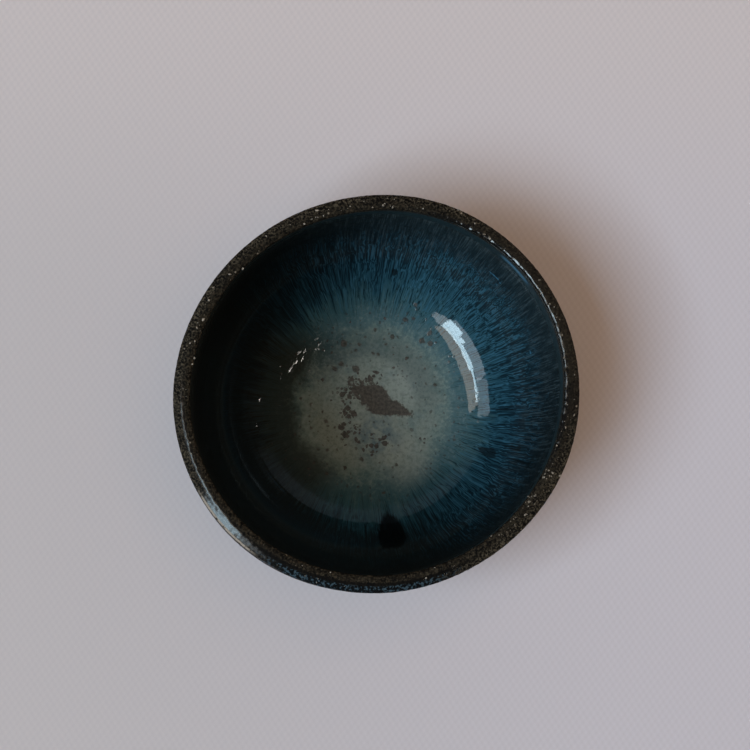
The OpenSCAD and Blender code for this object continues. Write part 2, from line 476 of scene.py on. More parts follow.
# Height of the orange flash under the glaze line, and of the part of the ring that is rubbed pale
FLASH = 2.4
RUBBED_FOOT = 0.4
bare_clay, sockets, place = new_finish("bare_clay")
z = place.parts()[2]
lines = place.drawn(3, 900).cloud(1, 3, 0.6)
fire = place.cloud(55, 3)
grog = place.grains(900, 0.35, 0.34)
pale_grog = place.moved((0.3, 0.1, 0.2)).grains(640, 0.2, 0.36)
flash = z.between((glaze_line_z - FLASH) * MM, glaze_line_z * MM) * (0.45 + fire * 0.9)
shade = fire.between(0.36, 0.66).mix("#4a382d", "#624838").under(
    (lines.between(0.45, 0.7) * 0.45, "#3a2c23"),
    (flash * 0.8, "#6e452c"),
    (grog * 0.8, "#251a14"),
    (pale_grog * 0.7, "#9c8672"),
    (z.between(RUBBED_FOOT * MM, 0) * 0.5, "#85705c"),
)
fill(sockets, {
    "Base Color": shade,
    "Roughness": 0.72 + lines * 0.2,
    "Normal": (lines * 0.7 + place.cloud(1600, 3) * 0.5 - grog * 0.3).relief(0.09),
})

clay_body = finished("clay_body_thrown", clay_shape, bare_clay)
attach(clay_body, "root")
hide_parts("clay_body")

# Foot glaze: a disc of the outside coat that stays in the foot recess when the ring is wiped clean.
# It is a thin fired skin with a rounded edge, fused to the clay above it.
FOOT_COAT_T = 0.4
FOOT_COAT_GAP = 1
STILL_R = 20
disc_r = recess_flat_r - FOOT_COAT_GAP
under_z = FOOT_RECESS - FOOT_COAT_T
disc = [(0, under_z)] + rounding((disc_r - FOOT_COAT_T, under_z), (disc_r, under_z), (disc_r, FOOT_RECESS))
foot_shape = turn(outline(
    (disc, FINE, 1),
    ([(disc_r, FOOT_RECESS), (0, FOOT_RECESS)], HIDDEN, 0),
), closed=False)
# The sponge left an uneven edge, in slow waves and in fine ones half as deep, and the coat a faint swell
WIPE = 0.9
WIPE_FROM_R = 8
WIPE_SLOW = 2.2
WIPE_FINE = 7
SWELL = 0.06
SWELL_SCALE = 0.35
free = foot_shape.verts.layers.float["free"]
for vert in foot_shape.verts:
    r = math.hypot(vert.co.x, vert.co.y)
    if r > ON_AXIS:
        side = Vector((vert.co.x / r, vert.co.y / r, 0))
        wipe = noise.noise(side * WIPE_SLOW) + 0.5 * noise.noise(side * WIPE_FINE)
        vert.co += side * WIPE * wipe * ease(r, WIPE_FROM_R, disc_r)
        vert.co.z -= SWELL * vert[free] * noise.noise(vert.co * SWELL_SCALE)


def dark_coat(name, low, high):
    """The gloss black coat, clouded navy with blue flecks that ran, and brown where it thins."""
    finish, sockets, place = new_finish(name)
    z = place.parts()[2]
    cloud = place.cloud(45, 3)
    # On the wall it ran downwards, and in the foot recess it lay still
    on_wall = place.reach().between(STILL_R * MM, FOOT_R * MM)
    ran = place.drawn(46, 130).cloud(1, 4, 0.62) * on_wall + place.cloud(420, 3) * (1 - on_wall)
    sheet = place.drawn(9, 40).cloud(1, 3) * on_wall + place.cloud(110, 2) * (1 - on_wall)
    fleck = place.grains(1500, 0.5, 0.5)
    thin_top = z.between((high - 2.6) * MM, high * MM) * (0.3 + 1.2 * sheet)
    thin_foot = z.between((low + 1.3) * MM, (low - 1.2) * MM)
    curdle = place.cloud(1150, 3, 0.6).between(0.5, 0.6)
    under_lip = z.between((high - 30) * MM, (high - 10) * MM) * (0.35 + 0.9 * sheet)
    shade = cloud.between(0.4, 0.68).mix("#0d0e10", "#131b24").under(
        (ran.between(0.5, 0.68) * sheet.between(0.42, 0.66), "#27404f"),
        (fleck * sheet.between(0.45, 0.75) * 0.8, "#4f6d7d"),
        (curdle * under_lip, "#3d6a83"),
        (thin_top * 0.8, "#2c221a"),
        (thin_foot, "#4a2e1c"),
    )
    fill(sockets, {
        "Base Color": shade,
        "Roughness": 0.07 + cloud.between(0.5, 0.8) * 0.1 + thin_foot * 0.2 + fleck * 0.08,
        "Normal": (ran * 0.5 + place.cloud(1100, 2) * 0.5).relief(0.025),
    })
    return finish


foot_glaze = finished("foot_glaze_disc", foot_shape, dark_coat("foot_coat", -9, 90))
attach(foot_glaze, "root")
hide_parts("foot_glaze")

# Liner glaze: the dark ground coat, poured into the raw cup and out again, so it lines the whole inside.
# It is a greenish black glass that shows as the dark band between the lip and the blue coat.
LINER_FACE = (38.4, 9.4, 3.5, -0.2)
LINER_T = 0.4
BAND_T = 0.15
OVER_Z = 53
# The liner shows above this height, and has close points there and at its edge
LINER_SHOWN_Z = OVER_Z - 3
LINER_STEP = 0.35
EDGE_STEP = 0.08


def coat_edge(clay, face, band_side, t):
    """The rounded upper edge of a coat, from under the lip's band to the coat's own face."""
    return rounding((radius_at(clay, BAND_Z) + band_side * BAND_T, BAND_Z), (radius_at(face, BAND_Z), BAND_Z),
                    (radius_at(face, BAND_Z - t), BAND_Z - t))


def way(degrees):
    """How far east and north one step goes at an angle round the axis."""
    angle = math.radians(degrees)
    return math.cos(angle), math.sin(angle)


def facing(place, degrees, low, high):
    """0 at one cosine of the angle between a place and a side of the cup, and 1 at another."""
    x, y, _ = place.parts()
    east, north = way(degrees)
    return ((x * east + y * north) / (place.reach() + ON_AXIS)).between(low, high)


liner_shape = turn(outline(
    (wall(CLAY_INSIDE, FLOOR_Z, BAND_Z), HIDDEN, 0),
    (coat_edge(CLAY_INSIDE, LINER_FACE, -1, LINER_T), EDGE_STEP, 0),
    (wall(LINER_FACE, LINER_SHOWN_Z, BAND_Z - LINER_T)[::-1], LINER_STEP, 0),
    (wall(LINER_FACE, LINER_FACE[1], LINER_SHOWN_Z)[::-1], HIDDEN, 0),
), closed=False)
throw(liner_shape)

dark_liner, sockets, place = new_finish("dark_liner")
z = place.parts()[2]
ran = place.drawn(70, 110).cloud(1, 3, 0.6)
speck = place.grains(1700, 0.4, 0.45)
# A short blue line right under the lip is a painted reflection of the window in the coat's edge
REFLECTION_SIDE = 42
painted_reflection = facing(place, REFLECTION_SIDE, 0.993, 0.998)
painted_reflection = painted_reflection * z.between((BAND_Z - 4.2) * MM, (BAND_Z - 3.2) * MM)
painted_reflection = painted_reflection * z.between((BAND_Z - 1.2) * MM, (BAND_Z - 1.8) * MM)
shade = ran.between(0.4, 0.65).mix("#141a1b", "#202a2d").under(
    (speck * 0.6, "#3c4a4a"),
    (z.between((BAND_Z - 1.6) * MM, BAND_Z * MM) * 0.7, "#231d16"),
    # The painted reflection of the window, as a blue line
    (painted_reflection * 0.75, "#4f86a6"),
)
fill(sockets, {
    "Base Color": shade,
    "Roughness": 0.28 + speck * 0.2,
    "Specular IOR Level": 0.2,
    "Normal": (ran * 0.5 + place.cloud(1500, 2) * 0.6).relief(0.02),
})

liner_glaze = finished("liner_glaze_poured", liner_shape, dark_liner)
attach(liner_glaze, "root")
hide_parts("liner_glaze")

# Over glaze: the pale blue coat laid over the liner, which ran down the wall in fine streaks when fired.
# It is thin and dark at its upper edge, and on the floor it gathers into a grey-green pool of glass.
# A brown crust broke through the middle of the pool, and in a few places the coat drew back from the wall.
OVER_FACE = (38.2, 10.6, 3.5, -0.2)
OVER_FEATHER = 2
# A gap in the coat: degrees round the cup, way along the wall as radius plus height, half its width,
# how many times longer than wide it is, and how deep
GAPS = [(-79.6, 44.8, 3, 2.4, 1), (-21.5, 44.4, 1.1, 3, 0.8), (-16.8, 55.6, 0.5, 18, 0.7),
        (-21.3, 64, 0.5, 13, 0.65), (78.5, 46.8, 0.75, 1.6, 0.85), (-2, 47.5, 0.4, 12, 0.5)]
# A gap is pear-shaped, this much wider at its upper end, and the coat drew up into a rim round it
PEAR = 0.35
GAP_DEPTH = 0.13
GAP_RIM = 0.05
# A gap is pressed into the wall, away from this place in the mouth of the cup
MOUTH = Vector((0, 0, 60))
over_shape = turn(outline(
    (wall(LINER_FACE, LINER_FACE[1], OVER_Z), HIDDEN, 0),
    ([(radius_at(LINER_FACE, OVER_Z), OVER_Z),
      (radius_at(OVER_FACE, OVER_Z - OVER_FEATHER), OVER_Z - OVER_FEATHER)], FINE, 0),
    (wall(OVER_FACE, OVER_FACE[1], OVER_Z - OVER_FEATHER)[::-1], FINE, 1),
), closed=False)
free = over_shape.verts.layers.float["free"]
for vert in over_shape.verts:
    if vert[free]:
        into_wall = (vert.co - MOUTH).normalized()
        run = math.hypot(vert.co.x, vert.co.y) + vert.co.z
        sink = 0
        for at, gap_run, half, stretch, deep in GAPS:
            side = Vector((*way(at), 0))
            lean = (run - gap_run) / (half * stretch)
            across = (side.x * vert.co.y - side.y * vert.co.x) / half
            away = math.hypot(across * (1 - PEAR * lean), lean)
            if vert.co.dot(side) > 0:
                dip = GAP_DEPTH * (1 - ease(away, 0.5, 1.1))
                sink += deep * (dip - GAP_RIM * math.exp(-((away - 1.3) / 0.25) ** 2))
        vert.co += into_wall * vert[free] * sink
throw(over_shape)


def largest(tones):
    """The largest of several tones."""
    most = tones[0]
    for tone in tones[1:]:
        most = most.larger(tone)
    return most


def beyond(place, corners):
    """How many millimetres outside a shape on the floor a place lies, and less than 0 inside it."""
    x, y, _ = place.parts()
    edges = []
    for (ax, ay), (bx, by) in zip(corners, corners[1:] + corners[:1]):
        long = math.dist((ax, ay), (bx, by)) * MM
        edges.append(((x - ax * MM) * (by - ay) - (y - ay * MM) * (bx - ax)) / long)
    return largest(edges)


# Sides of the cup where the colour is drawn unlike the rest, in degrees round its axis.
# The lit and the shaded ones carry painted light and shade.
POOL_LIT_SIDE = 25
DUST_LIT_SIDE = 40
LIT_SIDE = 45
LIT_WALL_SIDE = 48
EDGE_SHADE_SIDE = 65
SHADED_SIDE = 180
BROWN_SHADE_SIDE = 190
FILL_LIT_SIDE = 222
NEAR_SIDE = 255
# Way along the wall from the middle of the pool to the coat's upper edge, and height of the pool
RUN_LENGTH = 86.8
POOL_Z = 10.7
# Pale blue flecks high on the wall, some in a short row, and painted glints beside them: place and radius
FLECKS_AND_GLINTS = [(25.9, 27.7, 35.6, 0.4), (26.6, 27.1, 35.8, 0.55), (27.3, 26.4, 35.8, 0.55),
          (28, 25.5, 35, 0.34), (27.5, 25.5, 31.6, 0.28), (35.2, 10.9, 28.2, 0.36),
          (38, 1.5, 37.6, 0.3)]
# The crust is a wedge that points right, ragged at its wide end: two shapes given by their corners
WEDGE = [
    [(-1.7, 6), (-4.5, 5.4), (-4.2, 4), (-1.7, 1.3), (1.3, -1.9), (3.4, -2.4), (4.9, 0.8), (4.6, 3.2),
     (3.2, 4.5)],
    [(7.1, 1), (4.5, 1.9), (1.3, -1.9), (3.5, -2.5), (10.6, -2), (9.1, -0.5)],
]
# Clusters of loose crumbs round about it, and single spots: place on the floor and radius
CRUMBS = [(-4.2, 2.4, 2.2), (-4.1, -1.6, 1.7), (-4.6, -4.9, 1.8), (-2.4, -5.4, 1.5), (-1.6, -7.4, 1.3),
          (1, -9, 2), (3.2, -8.3, 1.6), (-5.2, -7.8, 0.9), (1.8, 6.3, 1.5)]
SPOTS = [
    (-5.2, 14, 0.75), (-7.3, 8.3, 0.55), (-5.8, 9.4, 0.6), (-2.5, 8.3, 0.8), (-1.7, 13.8, 0.45),
    (-2.5, 12.4, 0.4), (1.4, 11.8, 0.35), (2.5, 11.6, 0.4), (5.7, 15.6, 0.45), (1.8, 17.2, 0.4),
    (8.7, 19.4, 0.6), (10.9, 22.6, 0.5), (10.4, 19.6, 0.35), (14.2, 16.3, 0.6), (12.4, 14.7, 0.7),
    (14.3, 14, 0.6), (15.4, 4.7, 0.45), (4.3, 13.9, 0.35), (-9.2, -3.5, 0.45), (-1.2, -12.1, 0.5),
    (6.7, -13.4, 0.4), (-9, -15.3, 0.45), (3.8, -19.6, 0.4), (-12.6, 0.3, 0.35), (-12.6, -5.1, 0.35),
    (-9, -10, 0.4), (-14.9, 1.7, 0.35), (-7.2, -4.9, 0.35),
]
blue_coat, sockets, place = new_finish("blue_coat")
x, y, z = place.parts()
run = place.reach() + z
sway = (place.cloud(120, 2) - 0.5) * 3
streak = place.drawn(42, 95).moved(sway).cloud(1, 2, 0.5)
thread = place.drawn(135, 115).moved(sway * 3).cloud(1, 2, 0.5)
sweep = place.drawn(15, 38).cloud(1, 3, 0.6)
mottle = place.cloud(430, 4, 0.65)
milk = place.cloud(170, 3, 0.6)
speckle = place.cloud(1300, 3, 0.65)
# The pale pool reaches farthest on the lit side, and the wall above it is painted paler there: painted light.
# Across from there, on the shaded side, the wall is painted darker: painted shade.
pool_lit_reach = facing(place, POOL_LIT_SIDE, -0.2, 0.9)
lit_side = facing(place, LIT_SIDE, 0.72, 1)
shaded_side = facing(place, SHADED_SIDE, -0.1, 0.7)
# How far up the coat a place is, from 0 in the middle of the pool to 1 at the coat's upper edge
up = (run - OVER_FACE[1] * MM) / (RUN_LENGTH * MM)
on_wall = up.between(0.19, 0.33)
uneven = (streak - 0.5) * 0.1 * on_wall + (mottle - 0.5) * 0.14 * (1 - on_wall)
level = up + (sweep - 0.5) * 0.15 * on_wall + (milk - 0.5) * 0.07 + uneven
# The pool's pale edge is drawn smaller away from the lit side, and the wall paler on the lit side: painted
# light and shade
level = level + (1 - pool_lit_reach) * up.between(0.1, 0.2) * 0.035 - lit_side * up.between(0.3, 0.6) * 0.08
still = level.between(0.34, 0.2)
cloudy = mottle.between(0.35, 0.6)
# On the lit side the pool's edge is painted darker and bluer: painted shade
lit_edge_shade = facing(place, EDGE_SHADE_SIDE, 0, 0.8) * up.between(0.11, 0.15) * up.between(0.24, 0.17)
# Streaks are sparse dashes beside the pool, and crowd together up the wall
crowding = up.between(0.24, 0.55) * 0.08
dark_run = (streak * 0.28 + thread * 0.72 + crowding).between(0.53, 0.63) * on_wall
pale_run = (streak * 0.2 + thread * 0.8).between(0.46, 0.38) * on_wall * level.between(0.85, 0.5)
# High on the wall the streaks break up into grains of dark and pale, drawn stronger on the lit side: painted
# light
dust = place.drawn(140, 70).cloud(1, 3, 0.7)
dust_and_light = level.between(0.42, 0.6) * (0.4 + facing(place, DUST_LIT_SIDE, 0.1, 0.9) * 0.4)
# The side where the pool's edge is painted brown: painted shade
brown_shade = facing(place, BROWN_SHADE_SIDE, 0.35, 0.8)
pool_edge = (up + (milk - 0.5) * 0.06 + (mottle - 0.5) * 0.05).between(0.155, 0.215)
# Blue flecks high on the wall, and painted glints
fleck = largest([place.around(spot[:3], spot[3], 0.25) for spot in FLECKS_AND_GLINTS])
ragged = (place.cloud(800, 3, 0.65) - 0.5) * (2.4 + (y - x).between(0, 0.009) * 6.5)
crust = (beyond(place, WEDGE[0]).smaller(beyond(place, WEDGE[1])) + ragged).between(0.25, -0.25)
stirred = place.stirred(1100, 0.9)
cluster = largest([place.around((cx, cy, POOL_Z), radius, 0.9) for cx, cy, radius in CRUMBS])
crumb = stirred.grains(620, 0.01 + cluster * 0.95, 0.6, across="2D")
small = stirred.moved((0.013, 0.021, 0)).grains(1000, 0.03 + cluster * 0.6, 0.5, across="2D")
faint = stirred.moved((0.031, 0.017, 0)).grains(950, 0.2, 0.44, 0.2, across="2D")
spots = largest([stirred.around((sx, sy, height_at(OVER_FACE, math.hypot(sx, sy))), radius, 0.2)
                 for sx, sy, radius in SPOTS])
loose = largest([crumb, small, faint * 0.6]) * level.between(0.36, 0.26)
rust = largest([crust, loose, spots * 0.85])
rusty = place.cloud(1700, 3, 0.65).between(0.38, 0.62).mix("#2c2620", "#524840")
gaps = []
for at, gap_run, half, stretch, deep in GAPS:
    east, north = way(at)
    lean = (run - gap_run * MM) / (half * stretch * MM)
    across = (y * east - x * north) / (half * MM) * (1 - lean * PEAR)
    away = (across * across + lean * lean) ** 0.5
    here = (away + (streak - 0.5) * (2.6 / (half + 1.2))).between(1.1, 0.84) * deep
    gaps.append(here * (x * east + y * north).between(0, 0.004))
gap = largest(gaps)
shade = level.ramp(
    (0, "#929a8d"), (0.17, "#86948b"), (0.21, "#758a84"), (0.25, "#557275"), (0.31, "#3d6066"),
    (0.38, "#254b59"), (0.5, "#1d3f4d"), (0.6, "#182f3a"), (0.7, "#161f21"), (0.86, "#131a1b"),
    (0.94, "#0d1110"),
).under(
    (milk.between(0.5, 0.7) * level.between(0.32, 0.15) * 0.4, "#5f7c80"),
    (mottle.between(0.55, 0.7) * level.between(0.32, 0.15) * 0.3, "#6b7a70"),
    # The pool is paler beside the crust and on the near left, and cloudy blue on the far left
    (place.around((8, 4.5, POOL_Z), 4.5, 3.5) * 0.35, "#aab4ab"),
    (place.around((-8, -7.5, 10.8), 6.5, 5) * 0.35, "#a3a796"),
    (place.around((-9, 11.5, 11), 6, 5) * cloudy * 0.5, "#4c6468"),
    (place.around((-12.5, 12, 11.6), 5.5, 4.5) * 0.55, "#29342f"),
    (place.around((8.5, -12, 11.1), 5, 3.5) * 0.35, "#b8b8a6"),
    (speckle.between(0.5, 0.66) * still * 0.25, "#aab3aa"),
    (speckle.between(0.5, 0.36) * still * 0.3, "#4a5553"),
    # Painted shade at the pool's edge on the lit side
    (lit_edge_shade * 0.4, "#2f4448"),
    # Paler on the lit side: painted light
    (lit_side * on_wall * level.between(0.7, 0.5) * 0.3, "#3a6470"),
    (dark_run * 0.78, "#0a161d"),
    (pale_run * 0.62, "#3c6d82"),
    # The upper wall is painted paler on the lit side: painted light
    (facing(place, LIT_WALL_SIDE, 0.6, 0.95) * level.between(0.5, 0.62) * 0.3, "#33484f"),
    (dust.between(0.5, 0.64) * dust_and_light, "#46565b"),
    (dust.between(0.48, 0.36) * dust_and_light, "#0a1216"),
    # On the shaded side the pool's edge is painted brown, and the wall above it almost black: painted shade
    (brown_shade * pool_edge * 0.75, "#2c240f"),
    (shaded_side * level.between(0.31, 0.43) * 0.65, "#141a1c"),
    (facing(place, NEAR_SIDE, 0.55, 0.9) * level.between(0.36, 0.45) * 0.7, "#242b2d"),
    # The upper wall on the shaded side is painted a little lighter: painted light
    (facing(place, FILL_LIT_SIDE, 0.1, 0.7) * level.between(0.42, 0.6) * 0.4, "#2a3133"),
    # Below the crust the pool has a bluish tint
    (place.around((2.4, -6.8, 10.6), 4.6, 3.4) * cloudy * 0.6, "#546a74"),
    # Blue flecks, and painted glints
    (fleck * 0.75, "#46839f"),
    (rust * 0.9, rusty),
    (gap * 0.92, "#080b0d"),
)
ripple = place.cloud(1100, 2) * 0.21 + streak * 0.4 * up.between(0.36, 0.5) + rust * 0.8
ripple = ripple.relief(0.03)
fill(sockets, {
    "Base Color": shade,
    "Roughness": 0.035 + level.between(0.5, 0.7) * 0.12 + crust * 0.45 + (rust - crust) * 0.25,
    "Normal": ripple,
})
# High on the wall the coat is thin and fired almost dry, so it hardly mirrors what lies below it
gloss = Tone(sockets["Base Color"].node.outputs[0])
dry = level.node("ShaderNodeBsdfPrincipled", {}, {
    "Base Color": shade, "Roughness": 0.6, "Specular IOR Level": 0.1, "Normal": ripple})
dull = largest([level.between(0.4, 0.6) * 0.85, gap * 0.85, shaded_side * level.between(0.36, 0.42) * 0.6])
both = level.node("ShaderNodeMixShader", {}, {0: dull, 1: gloss, 2: dry})
fill(blue_coat.node_tree.nodes["Material Output"].inputs, {"Surface": both})

over_glaze = finished("over_glaze_run", over_shape, blue_coat)
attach(over_glaze, "root")
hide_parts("over_glaze")

# Outer glaze: the gloss black coat that the cup was dipped in, from under the lip to above the foot.
# It crept down the wall in the kiln, and stops in a thick wavy roll with a few short drips.
OUTER_FACE = (42, 2.5, 3.1, -0.4)
OUTER_T = 0.5
# How far the roll stands out and hangs down at the glaze line, and the spacing of its points
ROLL_OUT = 0.35
ROLL_DOWN = 0.9
ROLL_STEP = 0.2
# The edge crept in slow waves, in fine ones and a little down, all fading out this far up the wall,
# and it stays clear of the heel
CREEP_SLOW = 0.5
CREEP_FINE = 0.3
CREEP_DOWN = 0.1
CREEP_UP = 9
HEEL_GAP = 0.2
# Drips: degrees round the cup, length in millimetres and breadth in degrees
DRIPS = [(35, 1.3, 6), (118, 0.9, 5), (171, 1.5, 7), (248, 1.1, 5), (301, 1.4, 8)]
own_face = wall(OUTER_FACE, glaze_line_z, BAND_Z - OUTER_T)[::-1]
clay_r = radius_at(CLAY_OUTSIDE, glaze_line_z)
roll = rounding(own_face[-1], (clay_r + ROLL_OUT, glaze_line_z - ROLL_DOWN), (clay_r, glaze_line_z))
outer_outline = outline(
    (wall(CLAY_OUTSIDE, glaze_line_z, BAND_Z), HIDDEN, 0),
    (coat_edge(CLAY_OUTSIDE, OUTER_FACE, 1, OUTER_T), EDGE_STEP, 0),
    (own_face, FINE, 1),
    (roll, ROLL_STEP, 0),
)
# The roll ends where the outline began, so its last point is left out
outer_outline.pop()
outer_shape = turn(outer_outline, closed=True)
for vert in outer_shape.verts:
    hold = 1 - ease(vert.co.z, glaze_line_z, glaze_line_z + CREEP_UP)
    if hold:
        r = math.hypot(vert.co.x, vert.co.y)
        side = Vector((vert.co.x / r, vert.co.y / r, 0))
        degrees = math.degrees(math.atan2(side.y, side.x))
        slide = CREEP_SLOW * noise.noise(side * 2.4) + CREEP_FINE * noise.noise(side * 8) - CREEP_DOWN
        for at, length, breadth in DRIPS:
            slide -= length * hump(degrees, at, breadth)
        z = max(vert.co.z + slide * hold, heel_z + HEEL_GAP)
        lean = radius_at(CLAY_OUTSIDE, z) - radius_at(CLAY_OUTSIDE, vert.co.z)
        vert.co = side * (r + lean) + Vector((0, 0, z))
throw(outer_shape)

outer_glaze = finished("outer_glaze_dipped", outer_shape, dark_coat("outer_coat", glaze_line_z, BAND_Z))
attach(outer_glaze, "root")
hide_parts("outer_glaze")

# Rim band: an iron wash brushed round the lip over both dark coats' edges.
# It fired to a rough brown-black skin, thin enough for the gritty clay to show through as a grain.
banded_outside = [(r + BAND_T, z) for r, z in wall(CLAY_OUTSIDE, BAND_Z, LIP_Z)]
banded_inside = [(r - BAND_T, z) for r, z in wall(CLAY_INSIDE, BAND_Z, LIP_Z)]
# Spacing of the points under the wash and on it, and steps round the lip
UNDER_WASH = 0.4
ON_WASH = 0.22
LIP_ROUND_STEPS = 720
rim_shape = turn(outline(
    (banded_lip, UNDER_WASH, 0),
    ([banded_lip[-1], banded_inside[0]], BAND_T, 0),
    (banded_inside + lip_top(BAND_T)[::-1] + banded_outside[::-1], ON_WASH, 1),
), closed=True, steps=LIP_ROUND_STEPS)
ROUGH_LIP = 0.085
# The wash ran smooth on the bevel at one side and on the shoulder at another
SMOOTH_BEVEL = 25
SMOOTH_SHOULDER = 211
# Other sides of the lip: where the wash is even, where a pale line runs, broadly glassy, overrun and worn
EVEN_SIDE = 24
PALE_LINE_SIDE = 221
BROAD_SIDE = 226
OVERRUN_SIDE = 264
WORN_SIDE = -15
# How far across the lip a point is, from 0 at the inner edge to 1 at the outer edge
lip_across = LIP_OUT_R - LIP_IN_R + 2 * BAND_T
free = rim_shape.verts.layers.float["free"]
over_lip = rim_shape.verts.layers.float.new("over_lip")
for vert in rim_shape.verts:
    r = math.hypot(vert.co.x, vert.co.y)
    turn_at = math.atan2(vert.co.y, vert.co.x)
    vert[over_lip] = (r - LIP_IN_R + BAND_T) / lip_across
    inner = 1 - ease(vert[over_lip], 0.3, 0.5)
    calm = inner * ease(math.cos(turn_at - math.radians(SMOOTH_BEVEL)), 0.75, 0.95)
    calm += (1 - inner) * ease(math.cos(turn_at - math.radians(SMOOTH_SHOULDER)), 0.75, 0.95)
    grain = noise.fractal(vert.co * 1.6, 0.8, 2.1, 4) + inner * noise.fractal(vert.co * 1.1, 0.7, 2.1, 3)
    vert.co += vert.normal * vert[free] * ROUGH_LIP * (0.6 + 0.4 * inner) * (1 - 0.5 * calm) * grain
throw(rim_shape)

iron_wash, sockets, place = new_finish("iron_wash")
over = place.node("ShaderNodeAttribute", {"attribute_name": "over_lip"}, {}, "Fac")
grit = place.cloud(2300, 3, 0.7)
coarse = place.cloud(900, 2)
patch = place.cloud(140, 3)
pale = place.grains(1300, 0.05, 0.4)
pit = place.moved((0.2, 0.3, 0.1)).grains(1500, 0.5, 0.45)
rust_speck = place.moved((0.4, 0.2, 0.1)).grains(1300, 0.35, 0.44)
# Grainy brown nearly all over, and glassy only where the wash ran smooth
ridge = over.between(0, 0.12) * over.between(0.62, 0.5)
beads = coarse.between(0.32, 0.5)
glassy = over.between(0.3, 0.4) * facing(place, SMOOTH_SHOULDER, 0.76, 0.92) * (0.2 + beads * 0.28)
broad = facing(place, BROAD_SIDE, 0.95, 0.985)
glassy = glassy * (1 - (1 - broad) * over.between(0.48, 0.6))
glassy = glassy.larger(over.between(0.3, 0.2) * facing(place, SMOOTH_BEVEL, 0.5, 0.85) * beads)
# The wash wore off the ridge in places, most on one side, and bared the pale crust of the clay
worn = place.cloud(1500, 3, 0.7) + place.cloud(190, 2) * 0.6 + facing(place, WORN_SIDE, 0.3, 1) * 0.1
bared = worn.between(1.05, 1.11) * ridge
# On the near side the outside coat comes up over the shoulder, thick enough to curdle blue
curdle = place.cloud(1700, 3, 0.6).between(0.51, 0.6)
curdled = facing(place, OVERRUN_SIDE, 0.82, 0.95) * over.between(0.56, 0.64)
groove = facing(place, OVERRUN_SIDE, 0.7, 0.9) * over.between(0.36, 0.46) * over.between(0.64, 0.58)
light = over.between(0.4, 0.7).mix("#403b30", "#544e41")
even = facing(place, EVEN_SIDE, 0.78, 0.92) * over.between(0.3, 0.4)
# A thin pale line runs along the outer edge for a short way
pale_rim_line = over.between(0.82, 0.87) * over.between(0.97, 0.93) * facing(place, PALE_LINE_SIDE, 0.972, 0.99)
shade = grit.between(0.43, 0.66).mix("#070605", light).under(
    (ridge * coarse.between(0.4, 0.65) * 0.5, "#2a251c"),
    (rust_speck * ridge * 0.35, "#4c4133"),
    (even * 0.6, "#231f1a"),
    (patch.between(0.5, 0.7) * 0.35, "#0d0b0a"),
    (pit * 0.8, "#040403"),
    (groove * 0.85, "#050505"),
    (pale * 0.7, "#8f8778"),
    (bared * 0.85, "#9a9386"),
    (glassy, "#0a0908"),
    (pale_rim_line * beads * 0.65, "#c4baa9"),
    (curdled, curdle.mix("#070a0c", "#3a4e59")),
)
rough = (grit * 0.8 + coarse * 0.4 + pale * 0.5 + bared * 0.6 - pit * 0.5) * (1 - glassy * 0.85)
fill(sockets, {
    "Base Color": shade,
    "Roughness": 0.6 + grit * 0.3,
    "Specular IOR Level": 0.12,
    "Coat Weight": glassy,
    "Coat Roughness": 0.12,
    "Normal": rough.relief(0.07),
})

rim_band = finished("rim_band_brushed", rim_shape, iron_wash)
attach(rim_band, "root")
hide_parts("rim_band")

# Lip grit: grains of feldspar in the clay that stand out of the worn lip, most along its inner edge.
# Each is a small melted lump, half sunk in the iron wash.
GRIT_SEED = 11
GRIT_TRIES = 320
# The largest grains: degrees round the cup and how far across the lip
GRAINS = [(11, 0.1), (35, 0.61), (54, 0.22), (56, 0.25), (60, 0.58), (66, 0.94), (85, 0.15), (88, 0.28),
          (98, 0.39), (108, 0.68), (109, 0.27), (113, 0.17), (125, 0.63), (137, 0.02), (141, 0.4),
          (147, 0.73), (151, 0.52), (157, 0.26), (160, 0.4), (164, 0.24), (165, 0.48), (167, 0.72),
          (169, 0.02), (171, 0.05), (285, 0.52), (309, 0.02), (311, 0.27), (321, 0.5), (336, 0.23),
          (336, 0.91), (344, 0.13), (350, 0.33), (354, 0.7)]
# Least and greatest radius of a large grain and of a small one
LARGE = (0.18, 0.28)
SMALL = (0.06, 0.13)
random.seed(GRIT_SEED)
grains = [(math.radians(at), share, random.uniform(*LARGE)) for at, share in GRAINS]
for i in range(GRIT_TRIES):
    turn_at = random.uniform(0, math.tau)
    heading = Vector((math.cos(turn_at), math.sin(turn_at), 0))
    # Small grains lie in clusters, more and nearer the inner edge on the worn side
    wear = ease(heading.x, -0.2, 0.9)
    chance = 0.2 + 0.3 * wear + 0.8 * noise.noise(heading * 5.3) + 0.4 * noise.noise(heading * 17)
    share = random.gauss(0.22, 0.1) if random.random() < 0.3 + 0.5 * wear else random.uniform(0.08, 0.85)
    if random.random() < chance:
        grains.append((turn_at, share, random.uniform(*SMALL)))
grit_shape = bmesh.new()
lip = lip_top(BAND_T)
for turn_at, share, size in grains:
    goal = LIP_IN_R - BAND_T + share * lip_across
    r, z = min(lip, key=lambda point: abs(point[0] - goal))
    centre = thrown((r * math.cos(turn_at), r * math.sin(turn_at), z))
    lump = bmesh.ops.create_icosphere(grit_shape, subdivisions=1, radius=size)["verts"]
    for vert in lump:
        vert.co *= 0.7 + 0.6 * random.random()
    stretch = Matrix.Diagonal((random.uniform(0.8, 1.8), random.uniform(0.7, 1.2), random.uniform(0.5, 0.8)))
    spin = Matrix.Rotation(random.uniform(0, math.tau), 3, "Z")
    bmesh.ops.transform(grit_shape, matrix=Matrix.Translation(centre) @ (spin @ stretch).to_4x4(), verts=lump)

feldspar, sockets, place = new_finish("feldspar")
melt = place.cloud(2600, 2)
fill(sockets, {
    "Base Color": melt.between(0.35, 0.65).mix("#615a4f", "#a8a295"),
    "Roughness": 0.3 + melt * 0.3,
})

